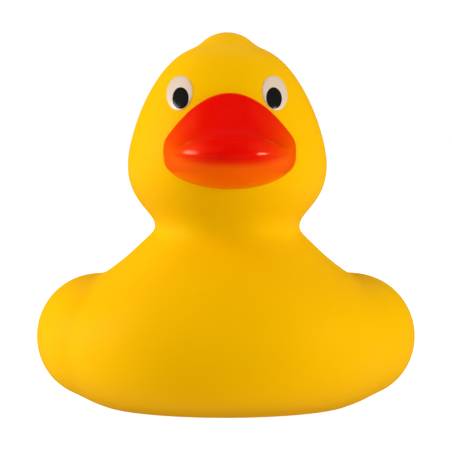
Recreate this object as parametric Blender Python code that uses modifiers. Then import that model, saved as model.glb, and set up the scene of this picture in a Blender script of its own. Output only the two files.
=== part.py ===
"""Rubber duck: one hollow soft-vinyl moulding, with a squeaker pressed into a hole in its base.

Units are metres, +Z is up, the duck faces -Y and is symmetric about X = 0.
Outlines below are in millimetres; MM turns them into metres.
"""

import math

import bmesh
import bpy
from mathutils import Matrix, Vector

MM = 0.001

# ---- driving sizes ----
WALL = 1.8 * MM
GAP = 0.3 * MM
RING_SIDES = 16
# A subdivided cage pulls in from its control ring; this is how much, for a ring of RING_SIDES.
RING_LIMIT = (4 + 2 * math.cos(2 * math.pi / RING_SIDES)) / 6
BLEND_VOXEL = 0.7 * MM
TRUNK_PASSES = 51
WING_PASSES = 29
STERN_TAPER = 0.6

# ---- level outlines: height, y of the widest place, half width, front y, back y (mm) ----
HULL = [
    (-2.5, 0, 17, -15.5, 18),
    (-1.0, 0, 24.4, -23.5, 26),
    (2.3, 0, 33.0, -33.4, 34.5),
    (8, -1, 37.2, -37.8, 39.5),
    (14, -2, 38.4, -39.2, 42.5),
    (20, -2, 36.2, -38.8, 44),
    (25, -4, 30.0, -36.8, 43.5),
    (29, -6, 23.9, -34.4, 41.5),
    (32.5, -8, 19.7, -31.8, 39),
    (36, -10, 16.4, -28.9, 34),
    (38.5, -11, 13.4, -25.5, 29),
    (39.5, -11, 8.0, -18.0, 22),
]
HEAD = [
    (27, -14, 14, -27.5, 2),
    (33, -14.5, 12.6, -28.0, 2),
    (37.5, -14, 13.3, -27.8, 3),
    (40.5, -13.5, 16.0, -28.6, 4.5),
    (43, -13, 18.4, -30.8, 6),
    (46.5, -12.8, 20.4, -33.6, 7.5),
    (51, -13, 21.0, -35.0, 8.5),
    (56, -13, 19.9, -34.6, 8.5),
    (61, -13, 18.4, -33.2, 7.5),
    (66, -13, 16.1, -30.8, 5.0),
    (70, -13, 13.5, -27.8, 2.0),
    (73.5, -13, 10.3, -24.2, -2.0),
    (75.8, -13, 5.6, -19.3, -6.6),
]
# ---- upright outlines: y, x of the middle, z of the middle, half width, half height (mm) ----
TAIL = [
    (4, 0, 22, 20, 14),
    (18, 0, 23.5, 19, 13.5),
    (28, 0, 26.5, 16.5, 11.5),
    (36, 0, 31.5, 13, 8.5),
    (42, 0, 36, 9.5, 6),
    (46, 0, 39.5, 6, 3.8),
    (47.5, 0, 41.2, 2.5, 1.6),
]
WING = [
    (-26, 21, 14.3, 3, 3),
    (-24, 22.2, 14.2, 6.5, 6.5),
    (-19.5, 24.6, 14.1, 9.5, 9.5),
    (-14, 26.6, 14.2, 11.4, 11.5),
    (-7, 27.7, 14.4, 12.2, 12.6),
    (1, 27.8, 14.5, 12.3, 12.8),
    (11, 26.9, 15.2, 11.4, 11.7),
    (20, 25, 16.6, 9.5, 9.4),
    (28, 22.5, 18.8, 7, 7.0),
    (34, 20, 21.4, 4.4, 4.4),
    (36.5, 18.6, 22.8, 2, 2),
]
# Crown tuft: middle and half sizes (mm).
TUFT_MIDDLE = (0, -12, 73.2)
TUFT_HALF = (6.4, 7.5, 4.9)


def clear_scene():
    for obj in list(bpy.data.objects):
        bpy.data.objects.remove(obj, do_unlink=True)
    for collection in list(bpy.data.collections):
        bpy.data.collections.remove(collection)


def new_collection(name):
    collection = bpy.data.collections.new(name)
    bpy.context.scene.collection.children.link(collection)
    return collection


def add_object(name, bm, collection):
    bmesh.ops.recalc_face_normals(bm, faces=bm.faces)
    mesh = bpy.data.meshes.new(name)
    bm.to_mesh(mesh)
    bm.free()
    obj = bpy.data.objects.new(name, mesh)
    collection.objects.link(obj)
    return obj


def bmesh_copy(obj):
    bm = bmesh.new()
    bm.from_mesh(obj.data)
    return bm


# ---- cages ----
def ring_edges(bm, ring):
    return [bm.edges.get((ring[i - 1], ring[i])) for i in range(len(ring))]


def bridge_rings(bm, rings):
    """Skins a row of vertex rings into one closed cage with flat ends."""
    for low, high in zip(rings, rings[1:]):
        bmesh.ops.bridge_loops(bm, edges=ring_edges(bm, low) + ring_edges(bm, high))
    bm.faces.new(rings[0])
    bm.faces.new(rings[-1])


def unit_ring(bm):
    return bmesh.ops.create_circle(bm, segments=RING_SIDES, radius=1 / RING_LIMIT)["verts"]


def level_loft(name, outline, collection, taper=0):
    """Cage of level rings, each half an oval to the front and half an oval, or a point, to the back."""
    bm = bmesh.new()
    rings = []
    for height, middle, half_width, front, back in outline:
        ring = unit_ring(bm)
        for vert in ring:
            behind = vert.co.y > 0
            reach = back - middle if behind else middle - front
            across = vert.co.x * half_width
            if behind:
                across *= abs(vert.co.x * RING_LIMIT) ** taper
            vert.co = Vector((across, middle + vert.co.y * reach, height)) * MM
        rings.append(ring)
    bridge_rings(bm, rings)
    return add_object(name, bm, collection)


def upright_loft(name, outline, collection, side=1):
    """Cage of upright oval rings set out along Y; side -1 mirrors it to the duck's other side."""
    bm = bmesh.new()
    rings = []
    for y, x, z, half_width, half_height in outline:
        ring = unit_ring(bm)
        for vert in ring:
            across = x + vert.co.x * half_width
            vert.co = Vector((side * across, y, z + vert.co.y * half_height)) * MM
        rings.append(ring)
    bridge_rings(bm, rings)
    return add_object(name, bm, collection)


def ball(name, middle, half_sizes, collection):
    bm = bmesh.new()
    bmesh.ops.create_uvsphere(bm, u_segments=48, v_segments=24, radius=1)
    bmesh.ops.scale(bm, vec=Vector(half_sizes) * MM, verts=bm.verts)
    bmesh.ops.translate(bm, vec=Vector(middle) * MM, verts=bm.verts)
    return add_object(name, bm, collection)


# ---- bill ----
BILL_CORNER_Z = 53.8
# Lines that run across the bill from corner to corner, from the root over the top to the chin:
# y in the middle, y at the corners, height in the middle over the corners, half width,
# and "arch" or "bowl" for the way the height falls towards the corners (mm).
BILL_LINES = [
    (-25.0, -24.0, 10.8, 12.8, "arch"),
    (-31.6, -29.9, 12.1, 13.8, "arch"),
    (-33.4, -31.0, 11.6, 13.7, "arch"),
    (-35.4, -31.8, 9.0, 13.4, "arch"),
    (-38.0, -32.4, 5.9, 12.9, "arch"),
    (-41.4, -32.9, 3.5, 12.4, "arch"),
    (-44.0, -33.3, 3.1, 11.9, "arch"),
    (-45.7, -33.5, 1.1, 11.7, "arch"),
    (-46.3, -33.4, -0.9, 11.7, "arch"),
    (-45.0, -33.2, -1.9, 11.8, "arch"),
    (-43.6, -33.0, -3.0, 12.4, "bowl"),
    (-40.4, -32.2, -5.9, 13.0, "bowl"),
    (-36.4, -31.2, -7.3, 13.6, "bowl"),
    (-33.0, -30.0, -7.7, 13.8, "bowl"),
    (-25.0, -24.0, -6.6, 12.8, "bowl"),
]
BILL_RIDGE = 6
BILL_MOUTH = 9
BILL_STATIONS = 13
BILL_END = math.radians(76)
BILL_CORNER_SHARE = 0.1


def close_with_rungs(bm, ring):
    """Closes a ring with faces from its first half straight over to its second half."""
    rungs = list(zip(ring, reversed(ring)))[: len(ring) // 2 + 1]
    for upper, lower in zip(rungs, rungs[1:]):
        bm.faces.new(dict.fromkeys((*upper, *reversed(lower))))


def bill_form(collection):
    """Sections side by side across the bill, each a smaller copy of the middle one."""
    bm = bmesh.new()
    crease = bm.edges.layers.float.new("crease_edge")
    rings = []
    for station in range(BILL_STATIONS):
        turn = BILL_END * (2 * station / (BILL_STATIONS - 1) - 1)
        fall = {"arch": math.cos(turn) ** 2, "bowl": math.cos(turn)}
        ring = []
        for middle_y, corner_y, height, half_width, kind in BILL_LINES:
            x = half_width * math.sin(turn)
            y = corner_y + (middle_y - corner_y) * math.cos(turn)
            z = BILL_CORNER_Z + height * (BILL_CORNER_SHARE + (1 - BILL_CORNER_SHARE) * fall[kind])
            ring.append(bm.verts.new(Vector((x, y, z)) * MM))
        for i in range(len(ring)):
            bm.edges.new((ring[i - 1], ring[i]))
        rings.append(ring)
    for low, high in zip(rings, rings[1:]):
        bmesh.ops.bridge_loops(bm, edges=ring_edges(bm, low) + ring_edges(bm, high))
    for ring in (rings[0], rings[-1]):
        close_with_rungs(bm, ring)
    for low, high in zip(rings[2:], rings[3:-2]):
        for line, sharpness in ((BILL_RIDGE, 0.5), (BILL_MOUTH, 0.7)):
            bm.edges.get((low[line], high[line]))[crease] = sharpness
    return add_object("bill_form", bm, collection)


def flat_floor(obj, height):
    """Cuts away what lies below a height and closes the cut with one level face."""
    bm = bmesh_copy(obj)
    cut = bmesh.ops.bisect_plane(
        bm,
        geom=bm.verts[:] + bm.edges[:] + bm.faces[:],
        plane_co=(0, 0, height),
        plane_no=(0, 0, -1),
        clear_outer=True,
    )
    rim = [item for item in cut["geom_cut"] if isinstance(item, bmesh.types.BMEdge)]
    bmesh.ops.edgeloop_fill(bm, edges=rim)
    bmesh.ops.recalc_face_normals(bm, faces=bm.faces)
    bm.to_mesh(obj.data)
    bm.free()


# ---- modifiers ----
def subdivide(obj, levels):
    modifier = obj.modifiers.new("Subdivision", "SUBSURF")
    modifier.levels = levels
    modifier.render_levels = levels


def settled(obj):
    """Puts the result of an object's modifiers in place of its mesh."""
    graph = bpy.context.evaluated_depsgraph_get()
    mesh = bpy.data.meshes.new_from_object(obj.evaluated_get(graph))
    obj.modifiers.clear()
    obj.data = mesh
    return obj


def smooth_forms(forms):
    for form in forms:
        subdivide(form, 3)
        settled(form)
    return forms


def joined(name, objects, collection):
    """One object that holds the meshes of several."""
    bm = bmesh.new()
    for obj in objects:
        bm.from_mesh(obj.data)
        bpy.data.objects.remove(obj)
    return add_object(name, bm, collection)


def blend(obj, voxel, passes):
    """Overlapping forms become one skin with soft valleys between them."""
    remesh = obj.modifiers.new("Blend", "REMESH")
    remesh.mode = "VOXEL"
    remesh.voxel_size = voxel
    smooth = obj.modifiers.new("Soften", "SMOOTH")
    smooth.factor = 0.5
    smooth.iterations = passes
    return settled(obj)


def thin_out(obj, faces):
    decimate = obj.modifiers.new("Fewer_faces", "DECIMATE")
    decimate.ratio = faces / sum(len(p.vertices) - 2 for p in obj.data.polygons)
    return settled(obj)


def combine(obj, other, operation):
    modifier = obj.modifiers.new(operation.title(), "BOOLEAN")
    modifier.operation = operation
    modifier.solver = "EXACT"
    modifier.object = other
    other.hide_render = True
    other.display_type = "WIRE"
    return settled(obj)


# ---- eyes ----
EYE_X = 9.6
EYE_Z = 65.4
EYE_HALF = (2.6, 3.5)
EYE_LEAN = math.radians(9.5)
EYE_RISE = 0.35
EYE_ROOT = 1.5
EYE_STEPS = 28


def eye_pad(name, side, skin, collection):
    """A leaning oval pad that follows the head and stands a little proud of it."""
    bm = bmesh.new()
    rings = []
    for share, lift in ((1, -EYE_ROOT), (1, EYE_RISE * 0.4), (0.9, EYE_RISE * 0.75), (0.5, EYE_RISE)):
        ring = []
        for step in range(EYE_STEPS):
            turn = 2 * math.pi * step / EYE_STEPS
            across = EYE_HALF[0] * share * math.cos(turn)
            height = EYE_HALF[1] * share * math.sin(turn)
            x = side * (EYE_X + across * math.cos(EYE_LEAN) - height * math.sin(EYE_LEAN))
            z = EYE_Z + height * math.cos(EYE_LEAN) + across * math.sin(EYE_LEAN)
            hit, point, normal, _ = skin.ray_cast(Vector((x, -60, z)) * MM, Vector((0, 1, 0)))
            ring.append(bm.verts.new(point + normal * lift * MM))
        for i in range(EYE_STEPS):
            bm.edges.new((ring[i - 1], ring[i]))
        rings.append(ring)
    bridge_rings(bm, rings)
    return add_object(name, bm, collection)


# ---- round parts ----
def turned(name, outline, collection, sides=48):
    """A part turned about the Z axis; the outline is (radius, height) in mm, closed."""
    bm = bmesh.new()
    verts = [bm.verts.new(Vector((radius, 0, height)) * MM) for radius, height in outline]
    edges = [bm.edges.new((verts[i - 1], verts[i])) for i in range(len(verts))]
    bmesh.ops.spin(
        bm,
        geom=verts + edges,
        cent=(0, 0, 0),
        axis=(0, 0, 1),
        angle=2 * math.pi,
        steps=sides,
        use_merge=True,
    )
    bmesh.ops.remove_doubles(bm, verts=bm.verts, dist=0.001 * MM)
    return add_object(name, bm, collection)


def drum(name, radius, low, high, collection, sides=48):
    """A plain cylinder about the Z axis, between two heights (mm)."""
    bm = bmesh.new()
    bmesh.ops.create_cone(
        bm, cap_ends=True, segments=sides, radius1=radius * MM, radius2=radius * MM,
        depth=(high - low) * MM, matrix=Matrix.Translation((0, 0, (low + high) / 2 * MM)),
    )
    return add_object(name, bm, collection)


def slab(name, low, high, collection):
    """A box between two corners (mm)."""
    bm = bmesh.new()
    middle = (Vector(low) + Vector(high)) / 2 * MM
    size = (Vector(high) - Vector(low)) * MM
    matrix = Matrix.Translation(middle) @ Matrix.Diagonal(size.to_4d())
    bmesh.ops.create_cube(bm, size=1, matrix=matrix)
    return add_object(name, bm, collection)


clear_scene()
duck = new_collection("Rubber_duck")
cutters = new_collection("Cutters")

# ---- outer skin: trunk, neck and tail run softly together, wings and tuft keep their outline ----
trunk = joined(
    "trunk",
    smooth_forms(
        [
            level_loft("hull_form", HULL, duck, STERN_TAPER),
            level_loft("head_form", HEAD, duck),
            upright_loft("tail_form", TAIL, duck),
        ]
    ),
    duck,
)
blend(trunk, BLEND_VOXEL, TRUNK_PASSES)
wings = smooth_forms([upright_loft("wing_form", WING, duck, side) for side in (-1, 1)])
tuft = ball("tuft_form", TUFT_MIDDLE, TUFT_HALF, duck)
body = joined("duck_body", [trunk, *wings, tuft], duck)
blend(body, BLEND_VOXEL, WING_PASSES)

# ---- hollow, from the skin moved in by the wall ----
hollow = add_object("hollow", bmesh_copy(body), cutters)
shrink = hollow.modifiers.new("Shrink", "DISPLACE")
shrink.strength = -WALL
shrink.mid_level = 0
settled(hollow)
bill_hollow = ball("bill_hollow", (0, -31, 55), (8.5, 9.5, 4), cutters)
hollow = joined("hollow", [hollow, bill_hollow], cutters)
blend(hollow, 1.2 * MM, 5)
thin_out(hollow, 2200)
flat_floor(hollow, WALL)

eyes = [eye_pad(f"eye_{side}", side, body, cutters) for side in (-1, 1)]
thin_out(body, 4600)
flat_floor(body, 0)
bill = bill_form(cutters)
subdivide(bill, 1)
settled(bill)
combine(body, bill, "UNION")
for eye in eyes:
    combine(body, eye, "UNION")
combine(body, hollow, "DIFFERENCE")

# ---- base: a dished boss with the squeaker's hole through it ----
BOSS = 11.0
DISH = 9.0
DISH_DEPTH = 1.6
DISH_TOP = DISH_DEPTH + WALL / MM
HOLE = 5.6
combine(body, drum("boss", BOSS, 0.5, DISH_TOP, cutters), "UNION")
combine(body, drum("dish", DISH, -1, DISH_DEPTH, cutters), "DIFFERENCE")
combine(body, drum("hole", HOLE, -1, 8, cutters), "DIFFERENCE")

# ---- squeaker housing: a spool whose flanges grip the edge of the hole ----
CLEAR = GAP / MM
BORE = 3.6
FLANGE = DISH - 0.8
NECK = HOLE - CLEAR
HOUSING_LOW = 0.4
HOUSING_TOP = 8.0
housing = turned(
    "squeaker_housing",
    [
        (BORE, HOUSING_LOW),
        (FLANGE, HOUSING_LOW),
        (FLANGE, DISH_DEPTH - CLEAR),
        (NECK, DISH_DEPTH - CLEAR),
        (NECK, DISH_TOP + CLEAR),
        (NECK + 1.1, DISH_TOP + CLEAR),
        (NECK + 0.5, DISH_TOP + 2.4),
        (NECK - 0.4, HOUSING_TOP),
        (BORE, HOUSING_TOP),
    ],
    duck,
)

# ---- reed block: a half-round plug in the bore, grooved for air ----
BLOCK_LOW = 1.0
BLOCK_TOP = 9.0
BLOCK_FLAT = 0.4
GROOVE = 1.1
block = drum("reed_block", BORE - CLEAR, BLOCK_LOW, BLOCK_TOP, duck)
combine(block, slab("block_flat", (-9, BLOCK_FLAT, -1), (9, 9, 20), cutters), "DIFFERENCE")
groove = drum("groove", GROOVE, -1, 20, cutters, sides=24)
combine(block, groove, "DIFFERENCE")

# ---- reed: a thin strip over the groove ----
REED_HALF = 1.9
REED_THICK = 0.35
REED_FACE = BLOCK_FLAT + CLEAR
reed = slab(
    "reed",
    (-REED_HALF, REED_FACE, BLOCK_LOW + 0.4),
    (REED_HALF, REED_FACE + REED_THICK, BLOCK_TOP - 0.8),
    duck,
)


def finish(obj, name, colour, roughness):
    """Gives a part its material and smooth shading."""
    material = bpy.data.materials.new(name)
    material.use_nodes = True
    shader = material.node_tree.nodes["Principled BSDF"]
    shader.inputs["Base Color"].default_value = (*colour, 1)
    shader.inputs["Roughness"].default_value = roughness
    shader.inputs["Metallic"].default_value = 0
    obj.data.materials.clear()
    obj.data.materials.append(material)
    obj.data.shade_smooth()
    obj.data.set_sharp_from_angle(angle=math.radians(40))


finish(body, "yellow_vinyl", (0.80, 0.41, 0.0), 0.5)
finish(housing, "white_plastic", (0.75, 0.75, 0.72), 0.45)
finish(block, "grey_plastic", (0.6, 0.6, 0.58), 0.5)
finish(reed, "clear_plastic", (0.7, 0.72, 0.7), 0.35)
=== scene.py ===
import math

import bmesh
import bpy
from mathutils import Matrix, Vector
from mathutils.bvhtree import BVHTree


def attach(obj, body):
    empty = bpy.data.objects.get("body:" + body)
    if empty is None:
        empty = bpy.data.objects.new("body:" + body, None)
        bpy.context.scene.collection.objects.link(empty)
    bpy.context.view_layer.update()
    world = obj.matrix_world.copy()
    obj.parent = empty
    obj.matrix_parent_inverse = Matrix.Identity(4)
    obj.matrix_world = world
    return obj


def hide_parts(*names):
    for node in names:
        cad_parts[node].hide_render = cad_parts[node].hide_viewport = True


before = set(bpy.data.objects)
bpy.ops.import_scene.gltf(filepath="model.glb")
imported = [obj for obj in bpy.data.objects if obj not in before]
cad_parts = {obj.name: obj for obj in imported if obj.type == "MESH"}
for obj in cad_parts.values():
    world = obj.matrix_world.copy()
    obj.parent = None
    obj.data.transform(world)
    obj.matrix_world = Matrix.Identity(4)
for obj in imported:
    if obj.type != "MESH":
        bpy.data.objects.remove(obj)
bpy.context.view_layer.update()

# ---------------------------------------------------------------------------
# Duck skin
# The trunk, neck, head, crown tuft, wings and tail are one hollow moulding of
# soft vinyl. It comes out of its mould in one piece, so the skin has no seams.
# ---------------------------------------------------------------------------
MM = 0.001
RING_SIDES = 16
# A subdivided cage pulls in from its control ring; this is how much, for a ring of RING_SIDES.
RING_LIMIT = (4 + 2 * math.cos(2 * math.pi / RING_SIDES)) / 6

# Level outlines: height, y of the widest place, half width, front y, back y (mm).
HULL = [
    (-2.5, 0, 17, -15.5, 18),
    (-1.0, 0, 24.4, -23.5, 26),
    (2.3, 0, 33.0, -33.4, 34.5),
    (8, -1, 37.2, -37.8, 39.5),
    (14, -2, 38.4, -39.2, 42.5),
    (20, -2, 36.2, -38.8, 44),
    (25, -4, 30.0, -36.8, 43.5),
    (29, -6, 23.9, -34.4, 41.5),
    (32.5, -8, 19.7, -31.8, 39),
    (36, -10, 16.4, -28.9, 34),
    (38.5, -11, 13.4, -25.5, 29),
    (39.5, -11, 8.0, -18.0, 22),
]
HEAD = [
    (27, -14, 14, -27.5, 2),
    (33, -14.5, 12.6, -28.0, 2),
    (37.5, -14, 13.3, -27.8, 3),
    (40.5, -13.5, 16.0, -28.6, 4.5),
    (43, -13, 18.4, -30.8, 6),
    (46.5, -12.8, 20.4, -33.6, 7.5),
    (51, -13, 21.0, -35.0, 8.5),
    (56, -13, 19.9, -34.6, 8.5),
    (61, -13, 18.4, -33.2, 7.5),
    (66, -13, 16.1, -30.8, 5.0),
    (70, -13, 13.5, -27.8, 2.0),
    (73.5, -13, 10.3, -24.2, -2.0),
    (75.8, -13, 5.6, -19.3, -6.6),
]
# Upright outlines: y, x of the middle, z of the middle, half width, half height (mm).
TAIL = [
    (4, 0, 22, 20, 14),
    (18, 0, 23.5, 19, 13.5),
    (28, 0, 26.5, 16.5, 11.5),
    (36, 0, 31.5, 13, 8.5),
    (42, 0, 36, 9.5, 6),
    (46, 0, 39.5, 6, 3.8),
    (47.5, 0, 41.2, 2.5, 1.6),
]
WING = [
    (-26, 21, 14.3, 3, 3),
    (-24, 22.2, 14.2, 6.5, 6.5),
    (-19.5, 24.6, 14.1, 9.5, 9.5),
    (-14, 26.6, 14.2, 11.4, 11.5),
    (-7, 27.7, 14.4, 12.2, 12.6),
    (1, 27.8, 14.5, 12.3, 12.8),
    (11, 26.9, 15.2, 11.4, 11.7),
    (20, 25, 16.6, 9.5, 9.4),
    (28, 22.5, 18.8, 7, 7.0),
    (34, 20, 21.4, 4.4, 4.4),
    (36.5, 18.6, 22.8, 2, 2),
]
TUFT_MIDDLE = (0, -12, 73.2)
TUFT_HALF = (6.4, 7.5, 4.9)
STERN_TAPER = 0.6

SKIN_VOXEL = 0.6 * MM
TRUNK_PASSES = 70
WING_PASSES = 40


def add_object(name, bm):
    bmesh.ops.recalc_face_normals(bm, faces=bm.faces)
    mesh = bpy.data.meshes.new(name)
    bm.to_mesh(mesh)
    bm.free()
    for polygon in mesh.polygons:
        polygon.use_smooth = True
    obj = bpy.data.objects.new(name, mesh)
    bpy.context.scene.collection.objects.link(obj)
    return obj


def ring_edges(bm, ring):
    return [bm.edges.get((ring[i - 1], ring[i])) for i in range(len(ring))]


def bridge_rings(bm, rings):
    """Skins a row of vertex rings into one closed cage with flat ends."""
    for low, high in zip(rings, rings[1:]):
        bmesh.ops.bridge_loops(bm, edges=ring_edges(bm, low) + ring_edges(bm, high))
    bm.faces.new(rings[0])
    bm.faces.new(rings[-1])


def unit_ring(bm):
    return bmesh.ops.create_circle(bm, segments=RING_SIDES, radius=1 / RING_LIMIT)["verts"]


def level_loft(name, outline, taper=0):
    """Cage of level rings, each half an oval to the front and half an oval, or a point, to the back."""
    bm = bmesh.new()
    rings = []
    for height, middle, half_width, front, back in outline:
        ring = unit_ring(bm)
        for vert in ring:
            behind = vert.co.y > 0
            reach = back - middle if behind else middle - front
            across = vert.co.x * half_width
            if behind:
                across *= abs(vert.co.x * RING_LIMIT) ** taper
            vert.co = Vector((across, middle + vert.co.y * reach, height)) * MM
        rings.append(ring)
    bridge_rings(bm, rings)
    return add_object(name, bm)


def upright_loft(name, outline, side=1):
    """Cage of upright oval rings set out along Y; side -1 mirrors it to the duck's other side."""
    bm = bmesh.new()
    rings = []
    for y, x, z, half_width, half_height in outline:
        ring = unit_ring(bm)
        for vert in ring:
            across = x + vert.co.x * half_width
            vert.co = Vector((side * across, y, z + vert.co.y * half_height)) * MM
        rings.append(ring)
    bridge_rings(bm, rings)
    return add_object(name, bm)


def ball(name, middle, half_sizes):
    bm = bmesh.new()
    bmesh.ops.create_uvsphere(bm, u_segments=64, v_segments=32, radius=1)
    bmesh.ops.scale(bm, vec=Vector(half_sizes) * MM, verts=bm.verts)
    bmesh.ops.translate(bm, vec=Vector(middle) * MM, verts=bm.verts)
    return add_object(name, bm)


def subdivide(obj, levels):
    modifier = obj.modifiers.new("Subdivision", "SUBSURF")
    modifier.levels = levels
    modifier.render_levels = levels


def settled(obj):
    """Puts the result of an object's modifiers in place of its mesh."""
    graph = bpy.context.evaluated_depsgraph_get()
    mesh = bpy.data.meshes.new_from_object(obj.evaluated_get(graph))
    obj.modifiers.clear()
    obj.data = mesh
    for polygon in mesh.polygons:
        polygon.use_smooth = True
    return obj


def finished_form(form):
    subdivide(form, 4)
    return settled(form)


def joined(name, objects):
    """One object that holds the meshes of several."""
    bm = bmesh.new()
    for obj in objects:
        bm.from_mesh(obj.data)
        bpy.data.objects.remove(obj)
    return add_object(name, bm)


def blend(obj, voxel, passes):
    """Overlapping forms become one skin with soft valleys between them."""
    remesh = obj.modifiers.new("Blend", "REMESH")
    remesh.mode = "VOXEL"
    remesh.voxel_size = voxel
    smooth = obj.modifiers.new("Soften", "SMOOTH")
    smooth.factor = 0.5
    smooth.iterations = passes
    return settled(obj)


def flat_floor(obj, height):
    """Cuts away what lies below a height and closes the cut with one level face."""
    bm = bmesh.new()
    bm.from_mesh(obj.data)
    cut = bmesh.ops.bisect_plane(
        bm,
        geom=bm.verts[:] + bm.edges[:] + bm.faces[:],
        plane_co=(0, 0, height),
        plane_no=(0, 0, -1),
        clear_outer=True,
    )
    rim = [item for item in cut["geom_cut"] if isinstance(item, bmesh.types.BMEdge)]
    bmesh.ops.edgeloop_fill(bm, edges=rim)
    bmesh.ops.recalc_face_normals(bm, faces=bm.faces)
    bm.to_mesh(obj.data)
    bm.free()


trunk = joined(
    "trunk",
    [
        finished_form(level_loft("hull_form", HULL, STERN_TAPER)),
        finished_form(level_loft("head_form", HEAD)),
        finished_form(upright_loft("tail_form", TAIL)),
    ],
)
blend(trunk, SKIN_VOXEL, TRUNK_PASSES)
wings = [finished_form(upright_loft("wing_form", WING, side)) for side in (-1, 1)]
skin = joined("duck_skin", [trunk, *wings, ball("tuft_form", TUFT_MIDDLE, TUFT_HALF)])
blend(skin, SKIN_VOXEL, WING_PASSES)
skin_surface = BVHTree.FromObject(skin, bpy.context.evaluated_depsgraph_get())
flat_floor(skin, 0)


def drum(name, radius, low, high):
    """A plain cylinder about the Z axis, between two heights (mm)."""
    bm = bmesh.new()
    bmesh.ops.create_cone(
        bm,
        cap_ends=True,
        segments=64,
        radius1=radius * MM,
        radius2=radius * MM,
        depth=(high - low) * MM,
        matrix=Matrix.Translation((0, 0, (low + high) / 2 * MM)),
    )
    return add_object(name, bm)


def cut(obj, cutter):
    """Takes a cutter's shape out of an object, and the cutter away."""
    modifier = obj.modifiers.new("Cut", "BOOLEAN")
    modifier.operation = "DIFFERENCE"
    modifier.solver = "EXACT"
    modifier.object = cutter
    settled(obj)
    bpy.data.objects.remove(cutter)


# The dish under the base, the squeaker's hole through it, and the room above the hole (mm).
DISH, DISH_DEPTH = 9.0, 1.6
HOLE, HOLE_TOP = 5.6, 3.4
ROOM, ROOM_TOP = 10.0, 12.0
cut(skin, drum("dish", DISH, -1, DISH_DEPTH))
cut(skin, drum("hole", HOLE, -1, HOLE_TOP + 0.5))
cut(skin, drum("room", ROOM, HOLE_TOP, ROOM_TOP))
skin.data.set_sharp_from_angle(angle=math.radians(40))


class Finish:
    """A node material built from the Principled shader, on Object coordinates."""

    def __init__(self, name):
        self.material = bpy.data.materials.new(name)
        self.material.use_nodes = True
        self.nodes = self.material.node_tree.nodes
        self.links = self.material.node_tree.links
        self.shader = self.nodes["Principled BSDF"]
        self.place = self.nodes.new("ShaderNodeTexCoord").outputs["Object"]

    def noise(self, scale, detail=2.0, roughness=0.5):
        node = self.nodes.new("ShaderNodeTexNoise")
        node.inputs["Scale"].default_value = scale
        node.inputs["Detail"].default_value = detail
        node.inputs["Roughness"].default_value = roughness
        self.links.new(self.place, node.inputs["Vector"])
        return node.outputs["Fac"]

    def spread(self, value, low, high, to_low, to_high):
        """The value, moved from one range to another and kept inside it."""
        node = self.nodes.new("ShaderNodeMapRange")
        node.inputs["From Min"].default_value = low
        node.inputs["From Max"].default_value = high
        node.inputs["To Min"].default_value = to_low
        node.inputs["To Max"].default_value = to_high
        self.links.new(value, node.inputs["Value"])
        return node.outputs["Result"]

    def mixed(self, share, first, second):
        """A colour between two, each an RGB tuple or another node's colour."""
        node = self.nodes.new("ShaderNodeMix")
        node.data_type = "RGBA"
        self.links.new(share, node.inputs["Factor"])
        for socket, colour in ((node.inputs["A"], first), (node.inputs["B"], second)):
            if isinstance(colour, tuple):
                socket.default_value = (*colour, 1)
            else:
                self.links.new(colour, socket)
        return node.outputs["Result"]

    def bump(self, height, distance):
        node = self.nodes.new("ShaderNodeBump")
        node.inputs["Strength"].default_value = 1
        node.inputs["Distance"].default_value = distance
        self.links.new(height, node.inputs["Height"])
        self.links.new(node.outputs["Normal"], self.shader.inputs["Normal"])

    def colour(self, socket):
        self.links.new(socket, self.shader.inputs["Base Color"])

    def roughness(self, socket):
        self.links.new(socket, self.shader.inputs["Roughness"])

    def set(self, **values):
        for name, value in values.items():
            self.shader.inputs[name.replace("_", " ")].default_value = value


VINYL_YELLOW = (0.775, 0.408, 0.0)
VINYL_DEEP = (0.765, 0.396, 0.0)

vinyl = Finish("yellow_vinyl")
vinyl.colour(vinyl.mixed(vinyl.spread(vinyl.noise(38), 0.35, 0.65, 0, 1), VINYL_YELLOW, VINYL_DEEP))
vinyl.roughness(vinyl.spread(vinyl.noise(420), 0.3, 0.7, 0.44, 0.5))
vinyl.bump(vinyl.noise(1600, detail=3), 0.00002)
vinyl.set(Specular_IOR_Level=0.035, Specular_Tint=(1.0, 0.7, 0.1, 1))

skin.data.materials.append(vinyl.material)
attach(skin, "root")
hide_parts("duck_body")

# ---------------------------------------------------------------------------
# Bill
# The bill is part of the moulding. It is masked at its root and sprayed with
# a glossy orange-red paint. Under the chin and towards the corners the colour
# turns a lighter orange: painted light, standing in for the light that falls there.
# ---------------------------------------------------------------------------
BILL_CORNER_Z = 53.8
# Lines that run across the bill from corner to corner, from the root over the top to the chin:
# y in the middle, y at the corners, height in the middle over the corners, half width,
# and "arch" or "bowl" for the way the height falls towards the corners (mm).
BILL_LINES = [
    (-25.0, -24.0, 10.8, 12.8, "arch"),
    (-31.6, -29.9, 12.1, 13.8, "arch"),
    (-33.4, -31.0, 11.6, 13.7, "arch"),
    (-35.4, -31.8, 9.0, 13.4, "arch"),
    (-38.0, -32.4, 5.9, 12.9, "arch"),
    (-41.4, -32.9, 3.5, 12.4, "arch"),
    (-44.0, -33.3, 3.1, 11.9, "arch"),
    (-45.7, -33.5, 1.1, 11.7, "arch"),
    (-46.3, -33.4, -0.9, 11.7, "arch"),
    (-45.0, -33.2, -1.9, 11.8, "arch"),
    (-43.6, -33.0, -3.0, 12.4, "bowl"),
    (-40.4, -32.2, -5.9, 13.0, "bowl"),
    (-36.4, -31.2, -7.3, 13.6, "bowl"),
    (-33.0, -30.0, -7.7, 13.8, "bowl"),
    (-25.0, -24.0, -6.6, 12.8, "bowl"),
]
BILL_RIDGE = 6
BILL_MOUTH = 9
BILL_STATIONS = 13
BILL_END = math.radians(76)
BILL_CORNER_SHARE = 0.1

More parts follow.
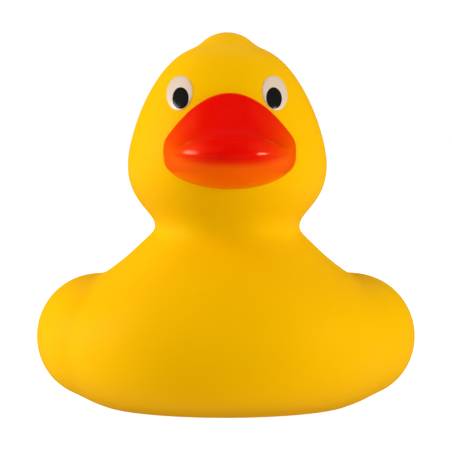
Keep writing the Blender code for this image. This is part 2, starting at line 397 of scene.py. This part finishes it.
bm = bmesh.new()
crease = bm.edges.layers.float.new("crease_edge")
# This layer holds painted light: how far each point of the bill turns from red to a lit orange.
painted_light_layer = bm.verts.layers.float.new("painted_light_share")
sections = []
for station in range(BILL_STATIONS):
    turn = BILL_END * (2 * station / (BILL_STATIONS - 1) - 1)
    fall = {"arch": math.cos(turn) ** 2, "bowl": math.cos(turn)}
    section = []
    for line, (middle_y, corner_y, height, half_width, kind) in enumerate(BILL_LINES):
        x = half_width * math.sin(turn)
        y = corner_y + (middle_y - corner_y) * math.cos(turn)
        z = BILL_CORNER_Z + height * (BILL_CORNER_SHARE + (1 - BILL_CORNER_SHARE) * fall[kind])
        vert = bm.verts.new(Vector((x, y, z)) * MM)
        # Painted light: the whole lower bill takes the lit orange, and the upper bill takes more of it towards
        # its corners.
        vert[painted_light_layer] = 1 if line > BILL_MOUTH else abs(math.sin(turn)) ** 4
        section.append(vert)
    for i in range(len(section)):
        bm.edges.new((section[i - 1], section[i]))
    sections.append(section)
for low, high in zip(sections, sections[1:]):
    bmesh.ops.bridge_loops(bm, edges=ring_edges(bm, low) + ring_edges(bm, high))
for section in (sections[0], sections[-1]):
    rungs = list(zip(section, reversed(section)))[: len(section) // 2 + 1]
    for upper, lower in zip(rungs, rungs[1:]):
        bm.faces.new(dict.fromkeys((*upper, *reversed(lower))))
for low, high in zip(sections[2:], sections[3:-2]):
    for line, sharpness in ((BILL_RIDGE, 0.5), (BILL_MOUTH, 0.7)):
        bm.edges.get((low[line], high[line]))[crease] = sharpness
bill = add_object("bill_paint", bm)
subdivide(bill, 4)
settled(bill)

BILL_RED = (0.71, 0.0015, 0.0)
# The orange is painted light: the bill's red as it looks where more light falls on it.
BILL_LIT_ORANGE = (0.80, 0.09, 0.0)
bill_paint = Finish("bill_gloss")
# The attribute read here carries painted light: the red turns to a lit orange under the mouth and at the
# corners.
painted_light_read = bill_paint.nodes.new("ShaderNodeAttribute")
painted_light_read.attribute_name = "painted_light_share"
bill_paint.colour(bill_paint.mixed(painted_light_read.outputs["Fac"], BILL_RED, BILL_LIT_ORANGE))
bill_paint.roughness(bill_paint.spread(bill_paint.noise(300), 0.3, 0.7, 0.16, 0.22))
bill_paint.bump(bill_paint.noise(900), 0.00001)
bill_paint.set(Specular_IOR_Level=0.4, Specular_Tint=(1.0, 0.5, 0.25, 1))
bill.data.materials.append(bill_paint.material)
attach(bill, "root")
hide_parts("duck_body")

# ---------------------------------------------------------------------------
# Eyes
# Each eye is a low oval pad on the head, printed white, with a black oval
# pupil printed low on it.
# ---------------------------------------------------------------------------
EYE_LEAN = math.radians(9.5)
EYE_ROOT = 1.0
OVAL_STEPS = 48


def oval_pad(name, side, middle, half_sizes, rise):
    """A leaning oval pad that follows the head and stands a little proud of it."""
    bm = bmesh.new()
    rings = []
    for share, lift in ((1, -EYE_ROOT), (1, rise * 0.3), (0.95, rise * 0.55), (0.8, rise * 0.85), (0.45, rise)):
        ring = []
        for step in range(OVAL_STEPS):
            turn = 2 * math.pi * step / OVAL_STEPS
            across = half_sizes[0] * share * math.cos(turn)
            up = half_sizes[1] * share * math.sin(turn)
            x = side * (middle[0] + across * math.cos(EYE_LEAN) - up * math.sin(EYE_LEAN))
            z = middle[1] + up * math.cos(EYE_LEAN) + across * math.sin(EYE_LEAN)
            point, normal, _, _ = skin_surface.ray_cast(Vector((x, -60, z)) * MM, Vector((0, 1, 0)))
            ring.append(bm.verts.new(point + normal * lift * MM))
        for i in range(OVAL_STEPS):
            bm.edges.new((ring[i - 1], ring[i]))
        rings.append(ring)
    bridge_rings(bm, rings)
    pad = add_object(name, bm)
    subdivide(pad, 2)
    return settled(pad)


white_paint = Finish("eye_white")
white_paint.colour(white_paint.mixed(white_paint.noise(500), (0.64, 0.51, 0.39), (0.61, 0.48, 0.36)))
white_paint.roughness(white_paint.spread(white_paint.noise(800), 0.3, 0.7, 0.3, 0.36))
black_paint = Finish("pupil_black")
black_paint.colour(black_paint.mixed(black_paint.noise(500), (0.006, 0.006, 0.006), (0.012, 0.011, 0.012)))
black_paint.set(Specular_IOR_Level=0.12)
black_paint.roughness(black_paint.spread(black_paint.noise(800), 0.3, 0.7, 0.16, 0.22))
for side, word, x in ((-1, "right", 9.9), (1, "left", 9.1)):
    white = oval_pad(f"eye_white_{word}", side, (x, 65.4), (2.6, 3.55), 0.35)
    white.data.materials.append(white_paint.material)
    pupil = oval_pad(f"pupil_{word}", side, (x - 0.3, 64.4), (1.75, 2.3), 0.45)
    pupil.data.materials.append(black_paint.material)
    for piece in (white, pupil):
        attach(piece, "root")
        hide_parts("duck_body")

# ---------------------------------------------------------------------------
# Squeaker
# A moulded plastic spool snapped into the hole in the base, with a half-round
# grooved plug in its bore and a thin plastic reed over the groove.
# ---------------------------------------------------------------------------
SQUEAKER_FINISHES = {
    "squeaker_housing": ((0.74, 0.74, 0.70), (0.70, 0.70, 0.66), 0.42),
    "reed_block": ((0.60, 0.60, 0.57), (0.56, 0.56, 0.53), 0.5),
    "reed": ((0.70, 0.72, 0.70), (0.66, 0.68, 0.66), 0.35),
}
for node, (pale, deep, gloss) in SQUEAKER_FINISHES.items():
    plastic = Finish(f"{node}_plastic")
    plastic.colour(plastic.mixed(plastic.noise(400), pale, deep))
    plastic.roughness(plastic.spread(plastic.noise(900), 0.3, 0.7, gloss - 0.04, gloss + 0.04))
    plastic.bump(plastic.noise(2500, detail=3), 0.00001)
    part = bpy.data.objects[node]
    part.data.materials.clear()
    part.data.materials.append(plastic.material)

# ---------------------------------------------------------------------------
# Floor, light and camera
# ---------------------------------------------------------------------------
bm = bmesh.new()
bmesh.ops.create_grid(bm, x_segments=1, y_segments=1, size=4)
floor = add_object("floor", bm)
floor_finish = Finish("floor_white")
floor_finish.set(Base_Color=(0.4, 0.4, 0.4, 1), Roughness=0.9, Specular_IOR_Level=0.0)
floor_finish.set(Emission_Color=(1, 1, 1, 1), Emission_Strength=0.56)
seen = floor_finish.nodes.new("ShaderNodeBsdfPrincipled")
seen.inputs["Base Color"].default_value = (0.35, 0.35, 0.35, 1)
seen.inputs["Roughness"].default_value = 0.9
seen.inputs["Specular IOR Level"].default_value = 0.0
seen.inputs["Emission Color"].default_value = (1, 1, 1, 1)
seen.inputs["Emission Strength"].default_value = 0.93
both = floor_finish.nodes.new("ShaderNodeMixShader")
path = floor_finish.nodes.new("ShaderNodeLightPath")
floor_finish.links.new(path.outputs["Is Camera Ray"], both.inputs[0])
floor_finish.links.new(floor_finish.shader.outputs[0], both.inputs[1])
floor_finish.links.new(seen.outputs[0], both.inputs[2])
floor_finish.links.new(both.outputs[0], floor_finish.nodes["Material Output"].inputs["Surface"])
floor.data.materials.append(floor_finish.material)
floor.visible_glossy = False

# Softboxes round the duck: name, turn from the front and height in degrees,
# width and height in metres, power in watts, and whether gloss shows it.
SOFTBOXES = [
    ("softbox_left", -90, 12, 0.7, 0.7, 13.0, True),
    ("softbox_left_high", -88, 42, 0.7, 0.5, 5.0, False),
    ("softbox_left_front", -45, 45, 0.6, 0.6, 2.5, False),
    ("softbox_right", 66, 8, 0.4, 0.5, 11.5, True),
    ("softbox_right_high", 75, 45, 0.6, 0.6, 3.2, False),
    ("softbox_back", 180, 45, 0.8, 0.8, 4.3, False),
    ("softbox_top", 0, 85, 0.8, 0.8, 1.3, False),
]
SOFTBOX_DISTANCE = 1.3
LIGHT_TARGET = Vector((0, 0, 0.04))


def from_front(turn, rise):
    """Direction at a turn from the front, positive to the right, and a height above level."""
    turn, rise = math.radians(turn), math.radians(rise)
    return Vector((
        math.sin(turn) * math.cos(rise),
        -math.cos(turn) * math.cos(rise),
        math.sin(rise),
    ))


for name, turn, rise, width, height, power, mirrored in SOFTBOXES:
    data = bpy.data.lights.new(name, "AREA")
    data.shape = "RECTANGLE"
    data.size, data.size_y = width, height
    data.energy = power
    lamp = bpy.data.objects.new(name, data)
    bpy.context.scene.collection.objects.link(lamp)
    lamp.visible_glossy = mirrored
    away = from_front(turn, rise)
    lamp.location = LIGHT_TARGET + away * SOFTBOX_DISTANCE
    lamp.rotation_euler = away.to_track_quat("Z", "Y").to_euler()

world = bpy.data.worlds.new("studio")
bpy.context.scene.world = world
world.use_nodes = True
world.cycles_visibility.glossy = False
air = world.node_tree
air.nodes["Background"].inputs["Color"].default_value = (1, 1, 1, 1)
strength = air.nodes.new("ShaderNodeMapRange")
strength.inputs["To Min"].default_value = 0.26
strength.inputs["To Max"].default_value = 1.05
path = air.nodes.new("ShaderNodeLightPath")
air.links.new(path.outputs["Is Camera Ray"], strength.inputs["Value"])
air.links.new(strength.outputs["Result"], air.nodes["Background"].inputs["Strength"])

VIEW_TURN = -1.5
VIEW_RISE = 3
VIEW_DISTANCE = 0.5
VIEW_TARGET = Vector((0.00008, 0, 0.0374))
SENSOR = 36
# What the camera takes in across the picture, at the duck's middle.
FRAME_WIDTH = 95.76 * MM
camera_data = bpy.data.cameras.new("camera")
camera_data.sensor_width = SENSOR
camera_data.lens = SENSOR * VIEW_DISTANCE / FRAME_WIDTH
camera = bpy.data.objects.new("camera", camera_data)
bpy.context.scene.collection.objects.link(camera)
back = from_front(VIEW_TURN, VIEW_RISE)
camera.location = VIEW_TARGET + back * VIEW_DISTANCE
camera.rotation_euler = back.to_track_quat("Z", "Y").to_euler()
bpy.context.scene.camera = camera
bpy.context.scene.view_settings.view_transform = "Standard"
